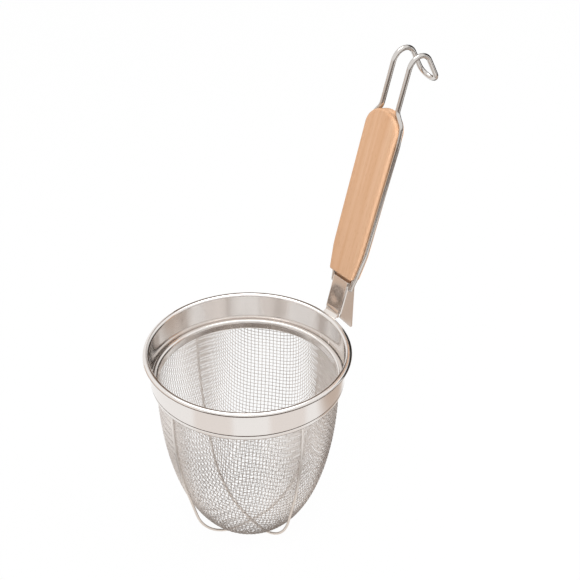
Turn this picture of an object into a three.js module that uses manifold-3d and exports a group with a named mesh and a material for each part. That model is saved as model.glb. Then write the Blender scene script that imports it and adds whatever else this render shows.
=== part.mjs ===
// Deep noodle strainer: a wire-mesh basket hung in a steel rim band, two rib wires under it, a folded
// bracket, a wire handle bent over into a hook, and a wooden grip sprung between the wire's legs.
// Millimetres, +Z up. The basket's axis is Z, the ground is z = 0 and the handle stands on the +X side.
import * as THREE from 'three';
import { mergeVertices } from 'three/addons/utils/BufferGeometryUtils.js';
import Module from 'manifold-3d';

const wasm = await Module();
wasm.setup();

// Clearances between pieces that touch on the real object
const SEAT_GAP = 0.2;
const WIRE_GAP = 0.3;

// Rim band with its rolled lip
const LIP_DIAMETER = 140;
const LIP_WIDTH = 4.4;
const LIP_HEIGHT = 2.7;
const LIP_TOP = 151.3;
const CURL_END_ANGLE = -110;
const BAND_SHEET = 0.8;
const BAND_DEPTH = 21.1;
const BAND_TAPER = 0.9;

// Binding ring, a U-channel open downwards in the foot of the band
const RING_SHEET = 0.45;
const RING_HEIGHT = 6.3;
const RING_OVERLAP = 2.7;
const RING_CROWN = 1.6;

// Mesh basket and rib wires
const MESH_THICKNESS = 0.9;
const MESH_COLUMNS = 16;
const MESH_FIRST_ROW = 2;
const MESH_BAR = 4;
const BOWL_POWER = 2.6;
const BOWL_DEPTH_POWER = 1.9;
const RIB_DIAMETER = 1.8;
const RIB_CROSS_TURN = 87;
const RIB_LEAVE_HEIGHT = 50;
const RIB_FOOT_RADIUS = 42;

// Handle: its plane leans outwards, and heights along it count from the level of the lip
const HANDLE_LEAN = 17.6;

// Wooden grip, standing just above the bracket
const GRIP_SLIT = 2.3;
const GRIP_LENGTH = 120.7;
const GRIP_FOOT_HALF_WIDTH = 10.9;
const GRIP_HEEL_RISE = 18.5;
const GRIP_HEEL_HALF_WIDTH = 13.5;
const GRIP_HALF_WIDTH = 14.5;
const GRIP_CROWN = 13.5;
const GRIP_THICKNESS = 10;
const GRIP_EDGE_ROUND = 1.8;
const GRIP_FOOT_ROUND = 2.4;
const TONGUE_LENGTH = 7;
const TONGUE_BACK = 4.4;
const TONGUE_SIDE_GAP = 0.6;

// Handle wire and its hook
const WIRE_DIAMETER = 3.5;
const WIRE_PROUD = 0.4;
const WIRE_SEAT = 7;
const WIRE_FORWARD = 2;
const WIRE_BEND_RADIUS = 5;
const WIRE_HEEL_RADIUS = 40;
const HOOK_HALF_SPACING = 7.75;
const HOOK_RISE = 31.1;
const HOOK_RADIUS = 9.45;
const HOOK_TURN = 136.7;
const HOOK_TAIL = 12.9;
const HOOK_END_FLAT = 0.02;

// Folded bracket
const BRACKET_SHEET = 1;
const LIP_CLEARANCE = 1.8;
const WEB_FACE = 3.2;
const WEB_TOP = 25.2;
const WEB_TOP_HALF_WIDTH = 8.8;
const WEB_FLARE = 2.6;
const FOLD_RADIUS = 2;
const GUSSET_STEP = 4.2;
const GUSSET_TOP_REACH = 4.9;
const GUSSET_TIP_REACH = 14;
const GUSSET_TIP_DROP = 11;
const GUSSET_TIP_WIDTH = 1.8;
const GUSSET_TIP_ROUND = 1;
const TAB_SLOPE = 28;
const FLANGE_DEPTH = 12.5;
const FLANGE_HALF_WIDTH = 6.1;

// Facets
const AROUND = 48;
const WIRE_SIDES = 8;
const RIB_STEPS = 64;
const RIB_WALL_STEPS = 6;
const HANDLE_WIRE_STEPS = 170;
const BOWL_STEPS = 10;
const CURL_STEPS = 12;
const CURL_INNER_STEPS = 8;
const CROWN_STEPS = 6;
const CORNER_STEPS = 6;

// Sizes that follow from the driving ones
const rad = THREE.MathUtils.degToRad;
const bandInnerTop = LIP_DIAMETER / 2 - LIP_WIDTH;
const bandBottom = LIP_TOP - BAND_DEPTH;
const lipCentre = { r: LIP_DIAMETER / 2 - LIP_WIDTH / 2, z: LIP_TOP - LIP_HEIGHT / 2 };
const ringOuter = bandInnerTop - BAND_TAPER - SEAT_GAP;
const ringTop = bandBottom + RING_OVERLAP;
const ringBottom = ringTop - RING_HEIGHT;
const meshOuter = ringOuter - RING_SHEET - RIB_DIAMETER - 2 * SEAT_GAP;
const ringInner = meshOuter - MESH_THICKNESS - SEAT_GAP - RING_SHEET;
const tuckTop = ringTop - RING_CROWN - SEAT_GAP;
const ribFootZ = RIB_DIAMETER / 2;
const crossFootZ = ribFootZ + RIB_DIAMETER + SEAT_GAP;
const bowlBottom = crossFootZ + RIB_DIAMETER / 2 + SEAT_GAP;
const bowlDepth = ringBottom - bowlBottom;
const ribOffset = SEAT_GAP + RIB_DIAMETER / 2;
const gripStart = WEB_TOP + GRIP_SLIT;
const gripEnd = gripStart + GRIP_LENGTH;
const gripShoulder = gripEnd - GRIP_CROWN;
const gussetTop = WEB_TOP - GUSSET_STEP;
const hookStart = gripEnd + HOOK_RISE;
const wireRadius = WIRE_DIAMETER / 2;
const lean = rad(HANDLE_LEAN);
const lipReach = Math.hypot(LIP_WIDTH / 2 * Math.cos(lean), LIP_HEIGHT / 2 * Math.sin(lean));
const webStandoff = lipReach + LIP_CLEARANCE + WEB_FACE + (LIP_HEIGHT / 2) * Math.sin(lean);
const handleX = lipCentre.r + webStandoff / Math.cos(lean);

const steel = new THREE.MeshStandardMaterial({ color: 0xd8d4ce, metalness: 1, roughness: 0.18 });
const meshSteel = new THREE.MeshStandardMaterial({ color: 0xb8b4ae, metalness: 1, roughness: 0.35 });
const wireSteel = new THREE.MeshStandardMaterial({ color: 0xcfcac4, metalness: 1, roughness: 0.22 });
const wood = new THREE.MeshStandardMaterial({ color: 0xdfb28c, metalness: 0, roughness: 0.6 });

// The band's outer radius at a height, on its slight taper
function bandOuter(z) {
  return bandInnerTop + BAND_SHEET - BAND_TAPER * (lipCentre.z - z) / (lipCentre.z - bandBottom);
}

// Points on an ellipse from one angle to another, in degrees
function ellipsePoints(centre, a, b, from, to, steps) {
  const points = [];
  for (let i = 0; i <= steps; i += 1) {
    const angle = rad(from + (to - from) * i / steps);
    points.push(new THREE.Vector2(centre.r + a * Math.cos(angle), centre.z + b * Math.sin(angle)));
  }
  return points;
}

// A solid of revolution about Z from a section of (radius, height) points
function turned(section) {
  return new THREE.LatheGeometry(section, AROUND).rotateX(Math.PI / 2);
}

// The arc that rounds a corner between two straight runs
class CornerArc extends THREE.Curve {
  constructor(before, corner, after, radius) {
    super();
    const back = before.clone().sub(corner).normalize();
    const ahead = after.clone().sub(corner).normalize();
    const half = back.angleTo(ahead) / 2;
    this.radius = radius;
    this.tangent = radius / Math.tan(half);
    this.start = corner.clone().addScaledVector(back, this.tangent);
    this.end = corner.clone().addScaledVector(ahead, this.tangent);
    const inward = back.clone().add(ahead).normalize();
    this.centre = corner.clone().addScaledVector(inward, radius / Math.sin(half));
    this.sweep = Math.PI - 2 * half;
  }

  getPoint(t, target = new THREE.Vector3()) {
    const first = this.start.clone().sub(this.centre);
    const last = this.end.clone().sub(this.centre);
    const whole = Math.sin(this.sweep);
    return target.copy(this.centre)
      .addScaledVector(first, Math.sin((1 - t) * this.sweep) / whole)
      .addScaledVector(last, Math.sin(t * this.sweep) / whole);
  }
}

// Straight runs between points, each corner rounded to its own radius
function roundedPath(corners) {
  const path = new THREE.CurvePath();
  let from = corners[0].at;
  for (let i = 1; i < corners.length - 1; i += 1) {
    const arc = new CornerArc(corners[i - 1].at, corners[i].at, corners[i + 1].at, corners[i].radius);
    path.add(new THREE.LineCurve3(from, arc.start));
    path.add(arc);
    from = arc.end;
  }
  path.add(new THREE.LineCurve3(from, corners[corners.length - 1].at));
  return path;
}

// A wire of round section along a path, with flats above and below in the path's plane
function wireAlong(path, radius, steps) {
  const section = new THREE.Shape();
  for (let i = 0; i < WIRE_SIDES; i += 1) {
    const angle = (i + 0.5) * 2 * Math.PI / WIRE_SIDES;
    const reach = radius / Math.cos(Math.PI / WIRE_SIDES);
    const point = new THREE.Vector2(reach * Math.cos(angle), reach * Math.sin(angle));
    if (i === 0) section.moveTo(point.x, point.y);
    else section.lineTo(point.x, point.y);
  }
  section.closePath();
  return new THREE.ExtrudeGeometry(section, { extrudePath: path, steps });
}

// Closed solids for joining and cutting, and back
function solidOf(geometry) {
  const bare = geometry.clone();
  bare.deleteAttribute('normal');
  bare.deleteAttribute('uv');
  const merged = mergeVertices(bare, 1e-4);
  return new wasm.Manifold(new wasm.Mesh({
    numProp: 3,
    vertProperties: new Float32Array(merged.getAttribute('position').array),
    triVerts: new Uint32Array(merged.getIndex().array),
  }));
}

function geometryOf(solid) {
  const mesh = solid.getMesh();
  const geometry = new THREE.BufferGeometry();
  geometry.setAttribute('position', new THREE.BufferAttribute(new Float32Array(mesh.vertProperties), 3));
  geometry.setIndex(new THREE.BufferAttribute(new Uint32Array(mesh.triVerts), 1));
  geometry.computeVertexNormals();
  return geometry;
}

function named(name, geometry, material) {
  const mesh = new THREE.Mesh(geometry, material);
  mesh.name = name;
  return mesh;
}

// Rim band: straight tapered wall, and the lip rolled outwards and under from its top edge
function rimBand() {
  const inside = new THREE.Vector2(bandInnerTop - BAND_TAPER, bandBottom);
  const outside = new THREE.Vector2(bandInnerTop - BAND_TAPER + BAND_SHEET, bandBottom);
  const over = ellipsePoints(lipCentre, LIP_WIDTH / 2, LIP_HEIGHT / 2, 180, CURL_END_ANGLE, CURL_STEPS);
  const under = ellipsePoints(
    lipCentre, LIP_WIDTH / 2 - BAND_SHEET, LIP_HEIGHT / 2 - BAND_SHEET, CURL_END_ANGLE, 180, CURL_INNER_STEPS,
  );
  return turned([inside, outside, ...under.reverse(), ...over.reverse(), inside]);
}

// Binding ring: two walls and a rounded crown round the mesh's top edge and the rib tops
function bindingRing() {
  const middle = { r: (ringOuter + ringInner) / 2, z: ringTop - RING_CROWN };
  const half = (ringOuter - ringInner) / 2;
  const over = ellipsePoints(middle, half, RING_CROWN, 0, 180, CROWN_STEPS);
  const under = ellipsePoints(middle, half - RING_SHEET, RING_CROWN - RING_SHEET, 180, 0, CROWN_STEPS);
  const foot = (r) => new THREE.Vector2(r, ringBottom);
  const innerWall = [foot(ringInner), foot(ringInner + RING_SHEET)];
  const outerWall = [foot(ringOuter - RING_SHEET), foot(ringOuter)];
  return turned([foot(ringOuter), ...over, ...innerWall, ...under, ...outerWall]);
}

// The bowl's section: nearly upright under the ring, then drawn in to a round bottom
function bowlDepthAt(radius, rimRadius, depth) {
  return depth * (1 - (radius / rimRadius) ** BOWL_POWER) ** (1 / BOWL_DEPTH_POWER);
}

function bowlSection(rimRadius, depth) {
  const points = [];
  for (let i = 0; i <= BOWL_STEPS; i += 1) {
    const radius = i === BOWL_STEPS ? rimRadius : rimRadius * Math.sin(Math.PI / 2 * i / BOWL_STEPS);
    points.push(new THREE.Vector2(radius, ringBottom - bowlDepthAt(radius, rimRadius, depth)));
  }
  return points;
}

// Angles round the grid at a radius: both edges of each upright bar, and facets across the gap beside it
function gridAngles(radius) {
  const step = 2 * Math.PI / MESH_COLUMNS;
  const edge = MESH_BAR / 2 / radius;
  const facets = AROUND / MESH_COLUMNS;
  const angles = [];
  for (let column = 0; column < MESH_COLUMNS; column += 1) {
    angles.push(column * step - edge);
    for (let i = 0; i < facets; i += 1) angles.push(column * step + edge + (step - 2 * edge) * i / facets);
  }
  return angles;
}

// A section's levels from the axis out and up: plain at the bottom, then both edges of each row of gaps
function gridLevels(section) {
  const levels = section.slice(0, MESH_FIRST_ROW).map((at) => ({ at, opens: false }));
  for (let i = MESH_FIRST_ROW; i < section.length - 1; i += 1) {
    const slope = section[i + 1].clone().sub(section[i]).normalize();
    levels.push({ at: section[i].clone().addScaledVector(slope, MESH_BAR / 2), opens: true });
    levels.push({ at: section[i + 1].clone().addScaledVector(slope, -MESH_BAR / 2), opens: false });
  }
  levels.push({ at: new THREE.Vector2(section[section.length - 1].x, tuckTop), opens: false });
  return levels;
}

// Mesh basket: the wire cloth's cup, with the cloth's gaps as a coarse grid. Every wall is a ring of points
// on the outside and one on the inside, joined to the next ring by bars or all round.
function meshBasket() {
  const places = [];
  const faces = [];
  const perColumn = AROUND / MESH_COLUMNS + 1;
  const around = MESH_COLUMNS * perColumn;
  const place = (x, y, z) => places.push(x, y, z) / 3 - 1;
  const ring = ({ at }) => {
    if (at.x === 0) return new Array(around).fill(place(0, 0, at.y));
    return gridAngles(at.x).map((angle) => place(at.x * Math.cos(angle), at.x * Math.sin(angle), at.y));
  };
  const triangle = (a, b, c) => {
    if (a !== b && b !== c && c !== a) faces.push(a, b, c);
  };
  const quad = (a, b, c, d) => {
    triangle(a, b, c);
    triangle(a, c, d);
  };
  const levels = gridLevels(bowlSection(meshOuter, bowlDepth));
  const outer = levels.map(ring);
  const inner = gridLevels(bowlSection(meshOuter - MESH_THICKNESS, bowlDepth - MESH_THICKNESS)).map(ring);
  const top = levels.length - 1;
  for (let i = 0; i < top; i += 1) {
    const [outLow, outHigh, inLow, inHigh] = [outer[i], outer[i + 1], inner[i], inner[i + 1]];
    for (let m = 0; m < around; m += 1) {
      const n = (m + 1) % around;
      if (levels[i].opens && m % perColumn !== 0) {
        quad(inLow[m], outLow[m], outLow[n], inLow[n]);
        quad(inHigh[m], inHigh[n], outHigh[n], outHigh[m]);
      } else {
        quad(outLow[m], outLow[n], outHigh[n], outHigh[m]);
        quad(inLow[n], inLow[m], inHigh[m], inHigh[n]);
        if (levels[i].opens) {
          quad(inLow[n], inHigh[n], outHigh[n], outLow[n]);
          quad(outLow[m], outHigh[m], inHigh[m], inLow[m]);
        }
      }
    }
  }
  for (let m = 0; m < around; m += 1) {
    const n = (m + 1) % around;
    quad(inner[top][m], outer[top][m], outer[top][n], inner[top][n]);
  }
  const geometry = new THREE.BufferGeometry();
  geometry.setAttribute('position', new THREE.Float32BufferAttribute(places, 3));
  geometry.setIndex(faces);
  geometry.computeVertexNormals();
  return geometry;
}

// The mesh's outer radius at a depth under the ring
function bowlRadiusAt(depth) {
  const share = Math.max(0, depth) / bowlDepth;
  return meshOuter * (1 - share ** BOWL_DEPTH_POWER) ** (1 / BOWL_POWER);
}

// One U-shaped rib wire: down the mesh's wall, away from it on a straight leg, and round a foot bend
function ribWire(footZ) {
  const at = (depth) => new THREE.Vector3(bowlRadiusAt(depth) + ribOffset, 0, ringBottom - depth);
  const wall = [new THREE.Vector3(meshOuter + ribOffset, 0, tuckTop)];
  const leaveDepth = ringBottom - RIB_LEAVE_HEIGHT;
  for (let i = 0; i <= RIB_WALL_STEPS; i += 1) wall.push(at(leaveDepth * i / RIB_WALL_STEPS));
  const leave = wall[wall.length - 1];
  const slope = leave.clone().sub(wall[wall.length - 2]).normalize();
  const corner = leave.clone().addScaledVector(slope, (footZ - leave.z) / slope.z);
  const mirror = (point) => new THREE.Vector3(-point.x, point.y, point.z);
  const bend = new CornerArc(leave, corner, mirror(corner), RIB_FOOT_RADIUS);

  const path = new THREE.CurvePath();
  path.add(new THREE.CatmullRomCurve3(wall));
  path.add(new THREE.LineCurve3(leave, bend.start));
  path.add(bend);
  path.add(new THREE.LineCurve3(bend.end, mirror(bend.end)));
  path.add(new CornerArc(corner, mirror(corner), mirror(leave), RIB_FOOT_RADIUS));
  path.add(new THREE.LineCurve3(mirror(bend.start), mirror(leave)));
  path.add(new THREE.CatmullRomCurve3(wall.map(mirror).reverse()));
  return wireAlong(path, RIB_DIAMETER / 2, RIB_STEPS);
}

// The handle's own frame: z runs up the handle, y across it and x away from the basket.
// A point's height and radius in the basket's frame become a point in the handle's frame here.
function inHandle(r, z) {
  const out = r - handleX;
  const up = z - LIP_TOP;
  return new THREE.Vector2(
    out * Math.cos(lean) - up * Math.sin(lean),
    out * Math.sin(lean) + up * Math.cos(lean),
  );
}

// Half the bracket's outside width at a place up the handle
function webHalfWidth(along) {
  return WEB_TOP_HALF_WIDTH - (WEB_TOP - along) * Math.tan(rad(WEB_FLARE));
}

// Handle wire: from the weld on one fold of the bracket, up the grip's edge, over the hook and back down
function handleWirePath() {
  const seat = (along) => webHalfWidth(along) + WIRE_GAP + wireRadius;
  const lift = (across, along, back = 0) => new THREE.Vector3(back, across, along);
  const turn = rad(HOOK_TURN);
  const cornerRise = HOOK_RADIUS / Math.tan((Math.PI - turn) / 2);
  const fall = cornerRise + HOOK_TAIL + HOOK_HALF_SPACING;
  const hookCorner = hookStart + cornerRise;
  const tail = lift(HOOK_HALF_SPACING, hookCorner + fall * Math.cos(turn), fall * Math.sin(turn));
  const shoulderDrop = GRIP_CROWN / 2;
  const half = [
    { at: lift(seat(WEB_TOP - WIRE_SEAT), WEB_TOP - WIRE_SEAT, -WIRE_FORWARD) },
    { at: lift(seat(WEB_TOP), WEB_TOP, -WIRE_FORWARD), radius: WIRE_BEND_RADIUS },
    { at: lift(GRIP_FOOT_HALF_WIDTH + WIRE_PROUD, gripStart + GRIP_FOOT_ROUND), radius: WIRE_BEND_RADIUS },
    { at: lift(GRIP_HEEL_HALF_WIDTH + WIRE_PROUD, gripStart + GRIP_HEEL_RISE), radius: WIRE_HEEL_RADIUS },
    { at: lift(GRIP_HALF_WIDTH + WIRE_PROUD, gripEnd - shoulderDrop), radius: WIRE_BEND_RADIUS },
    { at: lift(HOOK_HALF_SPACING, gripEnd), radius: WIRE_BEND_RADIUS },
    { at: lift(HOOK_HALF_SPACING, hookCorner), radius: HOOK_RADIUS },
    { at: tail, radius: HOOK_HALF_SPACING - HOOK_END_FLAT / 2 },
  ];
  const mirrored = half.map(({ at, radius }) => ({ at: lift(-at.y, at.z, at.x), radius })).reverse();
  return roundedPath([...half, ...mirrored]);
}

// Wooden grip: a tapered slab with a half-oval top and rounded faces, a groove for each leg of the wire,
// and a tongue at its foot that goes down behind the bracket's web
function handleGrip(wirePath) {
  const outline = new THREE.Shape();
  const heel = gripStart + GRIP_HEEL_RISE;
  const footCorner = GRIP_FOOT_HALF_WIDTH - GRIP_FOOT_ROUND;
  const footLevel = gripStart + GRIP_FOOT_ROUND;
  outline.moveTo(-footCorner, gripStart);
  outline.absarc(footCorner, footLevel, GRIP_FOOT_ROUND, -Math.PI / 2, 0, false);
  outline.lineTo(GRIP_HEEL_HALF_WIDTH, heel);
  outline.lineTo(GRIP_HALF_WIDTH, gripShoulder);
  outline.absellipse(0, gripShoulder, GRIP_HALF_WIDTH, GRIP_CROWN, 0, Math.PI, false, 0);
  outline.lineTo(-GRIP_HEEL_HALF_WIDTH, heel);
  outline.absarc(-footCorner, footLevel, GRIP_FOOT_ROUND, Math.PI, 1.5 * Math.PI, false);
  const slab = new THREE.ExtrudeGeometry(outline, {
    depth: GRIP_THICKNESS - 2 * GRIP_EDGE_ROUND,
    curveSegments: CORNER_STEPS * 2,
    bevelThickness: GRIP_EDGE_ROUND,
    bevelSize: GRIP_EDGE_ROUND,
    bevelOffset: -GRIP_EDGE_ROUND,
    bevelSegments: 3,
  });
  slab.translate(0, 0, GRIP_EDGE_ROUND - GRIP_THICKNESS / 2);
  slab.applyMatrix4(new THREE.Matrix4().makeBasis(
    new THREE.Vector3(0, 1, 0), new THREE.Vector3(0, 0, 1), new THREE.Vector3(1, 0, 0),
  ));
  const tongueFoot = gripStart - TONGUE_LENGTH;
  const tongueFront = BRACKET_SHEET + WIRE_GAP - WEB_FACE;
  const tongueHalf = webHalfWidth(tongueFoot) - BRACKET_SHEET - TONGUE_SIDE_GAP;
  const tongueTop = gripStart + GRIP_FOOT_ROUND;
  const tongue = new THREE.BoxGeometry(TONGUE_BACK - tongueFront, 2 * tongueHalf, tongueTop - tongueFoot);
  tongue.translate((TONGUE_BACK + tongueFront) / 2, 0, (tongueTop + tongueFoot) / 2);
  const groove = wireAlong(wirePath, wireRadius + WIRE_GAP, HANDLE_WIRE_STEPS);
  return geometryOf(solidOf(slab).add(solidOf(tongue)).subtract(solidOf(groove)));
}

// Where two lines meet, each a point and a direction
function meet(a, b) {
  const cross = a.along.x * b.along.y - a.along.y * b.along.x;
  const gap = b.at.clone().sub(a.at);
  return a.at.clone().addScaledVector(a.along, (gap.x * b.along.y - gap.y * b.along.x) / cross);
}

// A line moved sideways, to its left
function beside(line, distance) {
  const left = new THREE.Vector2(-line.along.y, line.along.x).normalize();
  return { at: line.at.clone().addScaledVector(left, distance), along: line.along };
}

// The bracket's tab and flange in the handle's frame: the tab slopes down under the lip and the flange
// lies on the band's outside
function bracketLines() {
  const slope = rad(TAB_SLOPE);
  const below = Math.hypot(LIP_WIDTH / 2 * Math.sin(slope), LIP_HEIGHT / 2 * Math.cos(slope)) + WIRE_GAP;
  const underLip = {
    r: lipCentre.r + below * Math.sin(slope),
    z: lipCentre.z - below * Math.cos(slope),
  };
  const tabStart = inHandle(underLip.r, underLip.z);
  const tabNext = inHandle(underLip.r - Math.cos(slope), underLip.z - Math.sin(slope));
  const flangeTop = inHandle(bandOuter(LIP_TOP) + SEAT_GAP, LIP_TOP);
  const flangeNext = inHandle(bandOuter(bandBottom) + SEAT_GAP, bandBottom);
  return {
    web: { at: new THREE.Vector2(-WEB_FACE, 0), along: new THREE.Vector2(0, -1) },
    tab: { at: tabStart, along: tabNext.sub(tabStart) },
    flange: { at: flangeTop, along: flangeNext.sub(flangeTop).normalize() },
  };
}

// A side view in the handle's x and z, made a slab across the handle
function sideSlab(points, halfWidth) {
  const outline = new THREE.Shape(points);
  const slab = new THREE.ExtrudeGeometry(outline, { depth: 2 * halfWidth, bevelEnabled: false });
  slab.translate(0, 0, -halfWidth);
  return slab.applyMatrix4(new THREE.Matrix4().makeBasis(
    new THREE.Vector3(1, 0, 0), new THREE.Vector3(0, 0, 1), new THREE.Vector3(0, -1, 0),
  ));
}

// The bracket's web and both gussets as one folded channel, narrower towards its foot
function bracketChannel(from, to) {
  const half = WEB_TOP_HALF_WIDTH;
  const front = -WEB_FACE;
  const back = GUSSET_TIP_REACH + BRACKET_SHEET;
  const inner = FOLD_RADIUS - BRACKET_SHEET;
  const section = new THREE.Shape();
  section.moveTo(back, -half);
  section.lineTo(back, -half + BRACKET_SHEET);
  section.lineTo(front + FOLD_RADIUS, -half + BRACKET_SHEET);
  section.absarc(front + FOLD_RADIUS, -half + FOLD_RADIUS, inner, -Math.PI / 2, -Math.PI, true);
  section.lineTo(front + BRACKET_SHEET, half - FOLD_RADIUS);
  section.absarc(front + FOLD_RADIUS, half - FOLD_RADIUS, inner, Math.PI, Math.PI / 2, true);
  section.lineTo(back, half - BRACKET_SHEET);
  section.lineTo(back, half);
  section.lineTo(front + FOLD_RADIUS, half);
  section.absarc(front + FOLD_RADIUS, half - FOLD_RADIUS, FOLD_RADIUS, Math.PI / 2, Math.PI, false);
  section.lineTo(front, -half + FOLD_RADIUS);
  section.absarc(front + FOLD_RADIUS, -half + FOLD_RADIUS, FOLD_RADIUS, Math.PI, 1.5 * Math.PI, false);
  section.closePath();
  const channel = new THREE.ExtrudeGeometry(section, {
    depth: to - from, curveSegments: CORNER_STEPS / 2, bevelEnabled: false,
  });
  channel.translate(0, 0, from);
  const place = channel.getAttribute('position');
  for (let i = 0; i < place.count; i += 1) {
    place.setY(i, place.getY(i) * webHalfWidth(place.getZ(i)) / half);
  }
  return channel;
}

// Handle bracket: the folded channel cut to the gussets' side view, with the tab and flange added at its foot
function handleBracket() {
  const { web, tab, flange } = bracketLines();
  // The tab's stub lies a little inside the web's faces, so that no two faces share a plane
  const inset = BRACKET_SHEET / 10;
  const webFront = beside(web, inset);
  const webBack = beside(web, BRACKET_SHEET - inset);
  const tabUnder = beside(tab, BRACKET_SHEET);
  const flangeBack = beside(flange, BRACKET_SHEET);
  const knee = meet(beside(web, BRACKET_SHEET / 2), beside(tab, BRACKET_SHEET / 2));
  const stubTop = knee.y + 2 * BRACKET_SHEET;
  const heel = meet(tab, flange);
  const flangeFoot = heel.clone().addScaledVector(flange.along, FLANGE_DEPTH);
  const flangeBackFoot = beside({ at: flangeFoot, along: flange.along }, BRACKET_SHEET).at;
  const strip = sideSlab([
    new THREE.Vector2(webFront.at.x, stubTop),
    meet(webFront, tab),
    heel,
    flangeFoot,
    flangeBackFoot,
    meet(tabUnder, flangeBack),
    meet(webBack, tabUnder),
    new THREE.Vector2(webBack.at.x, stubTop),
  ], FLANGE_HALF_WIDTH);

  const clear = -WEB_FACE - BRACKET_SHEET;
  const webRear = -WEB_FACE + FOLD_RADIUS;
  const tip = new THREE.Vector2(GUSSET_TIP_REACH, -GUSSET_TIP_DROP);
  const tipFront = new THREE.Vector2(GUSSET_TIP_REACH - GUSSET_TIP_WIDTH, -GUSSET_TIP_DROP);
  const rearTop = new THREE.Vector2(GUSSET_TOP_REACH, gussetTop);
  const rearNearTip = tip.clone().addScaledVector(rearTop.clone().sub(tip).normalize(), GUSSET_TIP_ROUND);
  const footNearTip = tip.clone().addScaledVector(tipFront.clone().sub(tip).normalize(), GUSSET_TIP_ROUND);
  const profile = sideSlab([
    new THREE.Vector2(clear, knee.y),
    knee,
    tipFront,
    footNearTip,
    rearNearTip,
    rearTop,
    new THREE.Vector2(webRear, gussetTop),
    new THREE.Vector2(webRear, WEB_TOP),
    new THREE.Vector2(clear, WEB_TOP),
  ], 2 * WEB_TOP_HALF_WIDTH);
  const channel = bracketChannel(-GUSSET_TIP_DROP - BRACKET_SHEET, WEB_TOP + BRACKET_SHEET);
  return geometryOf(solidOf(channel).intersect(solidOf(profile)).add(solidOf(strip)));
}

// Assembly
const strainer = new THREE.Group();
strainer.add(named('rim_band', rimBand(), steel));
strainer.add(named('mesh_binding_ring', bindingRing(), steel));
strainer.add(named('mesh_basket', meshBasket(), meshSteel));
strainer.add(named('rib_wire_handle_plane', ribWire(ribFootZ), wireSteel));
const crossRib = named('rib_wire_cross', ribWire(crossFootZ), wireSteel);
crossRib.rotation.z = rad(RIB_CROSS_TURN);
strainer.add(crossRib);

const handle = new THREE.Group();
handle.position.set(handleX, 0, LIP_TOP);
handle.rotation.y = lean;
const wirePath = handleWirePath();
handle.add(named('handle_bracket', handleBracket(), steel));
handle.add(named('handle_wire', wireAlong(wirePath, wireRadius, HANDLE_WIRE_STEPS), wireSteel));
handle.add(named('handle_grip', handleGrip(wirePath), wood));
strainer.add(handle);

export default strainer;
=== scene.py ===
"""Noodle strainer: wire cloth in a rolled rim, bowed ribs, and a hooked wire handle with a wooden grip.

Sizes are millimetres in the model's frame, with +Z up, the basket's axis on Z and the handle on the +X side.
Each mesh is made in millimetres and scaled to metres when it is finished.
"""

import logging
import math
from dataclasses import dataclass
from enum import Enum

import bmesh
import bpy
import numpy as np
from mathutils import Matrix, Quaternion, Vector


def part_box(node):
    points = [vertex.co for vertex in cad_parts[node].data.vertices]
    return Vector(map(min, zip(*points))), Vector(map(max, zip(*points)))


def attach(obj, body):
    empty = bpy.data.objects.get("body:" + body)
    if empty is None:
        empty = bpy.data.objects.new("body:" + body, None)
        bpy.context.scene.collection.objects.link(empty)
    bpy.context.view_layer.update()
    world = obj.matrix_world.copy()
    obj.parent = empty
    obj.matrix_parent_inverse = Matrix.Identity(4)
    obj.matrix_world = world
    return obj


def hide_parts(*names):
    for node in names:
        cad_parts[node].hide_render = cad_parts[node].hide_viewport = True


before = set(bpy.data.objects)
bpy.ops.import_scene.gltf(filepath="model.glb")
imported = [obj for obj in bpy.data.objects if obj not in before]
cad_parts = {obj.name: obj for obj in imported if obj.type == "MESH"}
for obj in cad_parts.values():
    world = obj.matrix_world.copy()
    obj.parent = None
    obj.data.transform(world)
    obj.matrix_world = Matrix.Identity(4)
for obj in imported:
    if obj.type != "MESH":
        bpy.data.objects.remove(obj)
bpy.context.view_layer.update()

# A millimetre in metres.
MM = 0.001
# Distance in millimetres under which two points count as one.
NEAR = 0.001
FULL_TURN = 360.0
# Bevel on the edges of sheet metal.
EASED_SEGMENTS = 2
EASED_ANGLE = 50.0
# Sockets of a Mix node that mixes colours.
MIX_FROM = 6
MIX_TO = 7
MIX_RESULT = 2
BODY = "root"
log = logging.getLogger("strainer")


class Slot(Enum):
    """The record's material slots."""

    POLISHED_STEEL = "polished_steel"
    STEEL_MESH = "steel_mesh"
    STEEL_WIRE = "steel_wire"
    PALE_WOOD = "pale_wood"


class Way(Enum):
    """The two sets of wires in the cloth, and the side each takes at the middle crossing."""

    WARP = 1
    WEFT = -1


class Work(Enum):
    """What a tool solid does to a piece, as the Boolean modifier names it."""

    JOIN = "UNION"
    CUT = "DIFFERENCE"


class Fade(Enum):
    """What a screen fades with: its height, or the distance from its middle."""

    HEIGHT = "height"
    DISTANCE = "distance"


@dataclass(frozen=True)
class Corner:
    """A corner of a path and the radius that rounds it."""

    at: Vector
    radius: float = 0.0

    @classmethod
    def of(cls, x: float, y: float, z: float, radius: float = 0.0) -> "Corner":
        """Give the corner at a place."""
        return cls(Vector((x, y, z)), radius)


def linear(colour: str) -> tuple[float, float, float, float]:
    """Turn an sRGB hex colour into linear RGBA.

    Args:
        colour: Six hex digits after a hash sign.

    Returns:
        Linear red, green, blue and an alpha of 1.
    """
    shares = [int(colour[i : i + 2], 16) / 255 for i in (1, 3, 5)]
    red, green, blue = (s / 12.92 if s <= 0.04045 else ((s + 0.055) / 1.055) ** 2.4 for s in shares)
    return red, green, blue, 1.0


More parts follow.
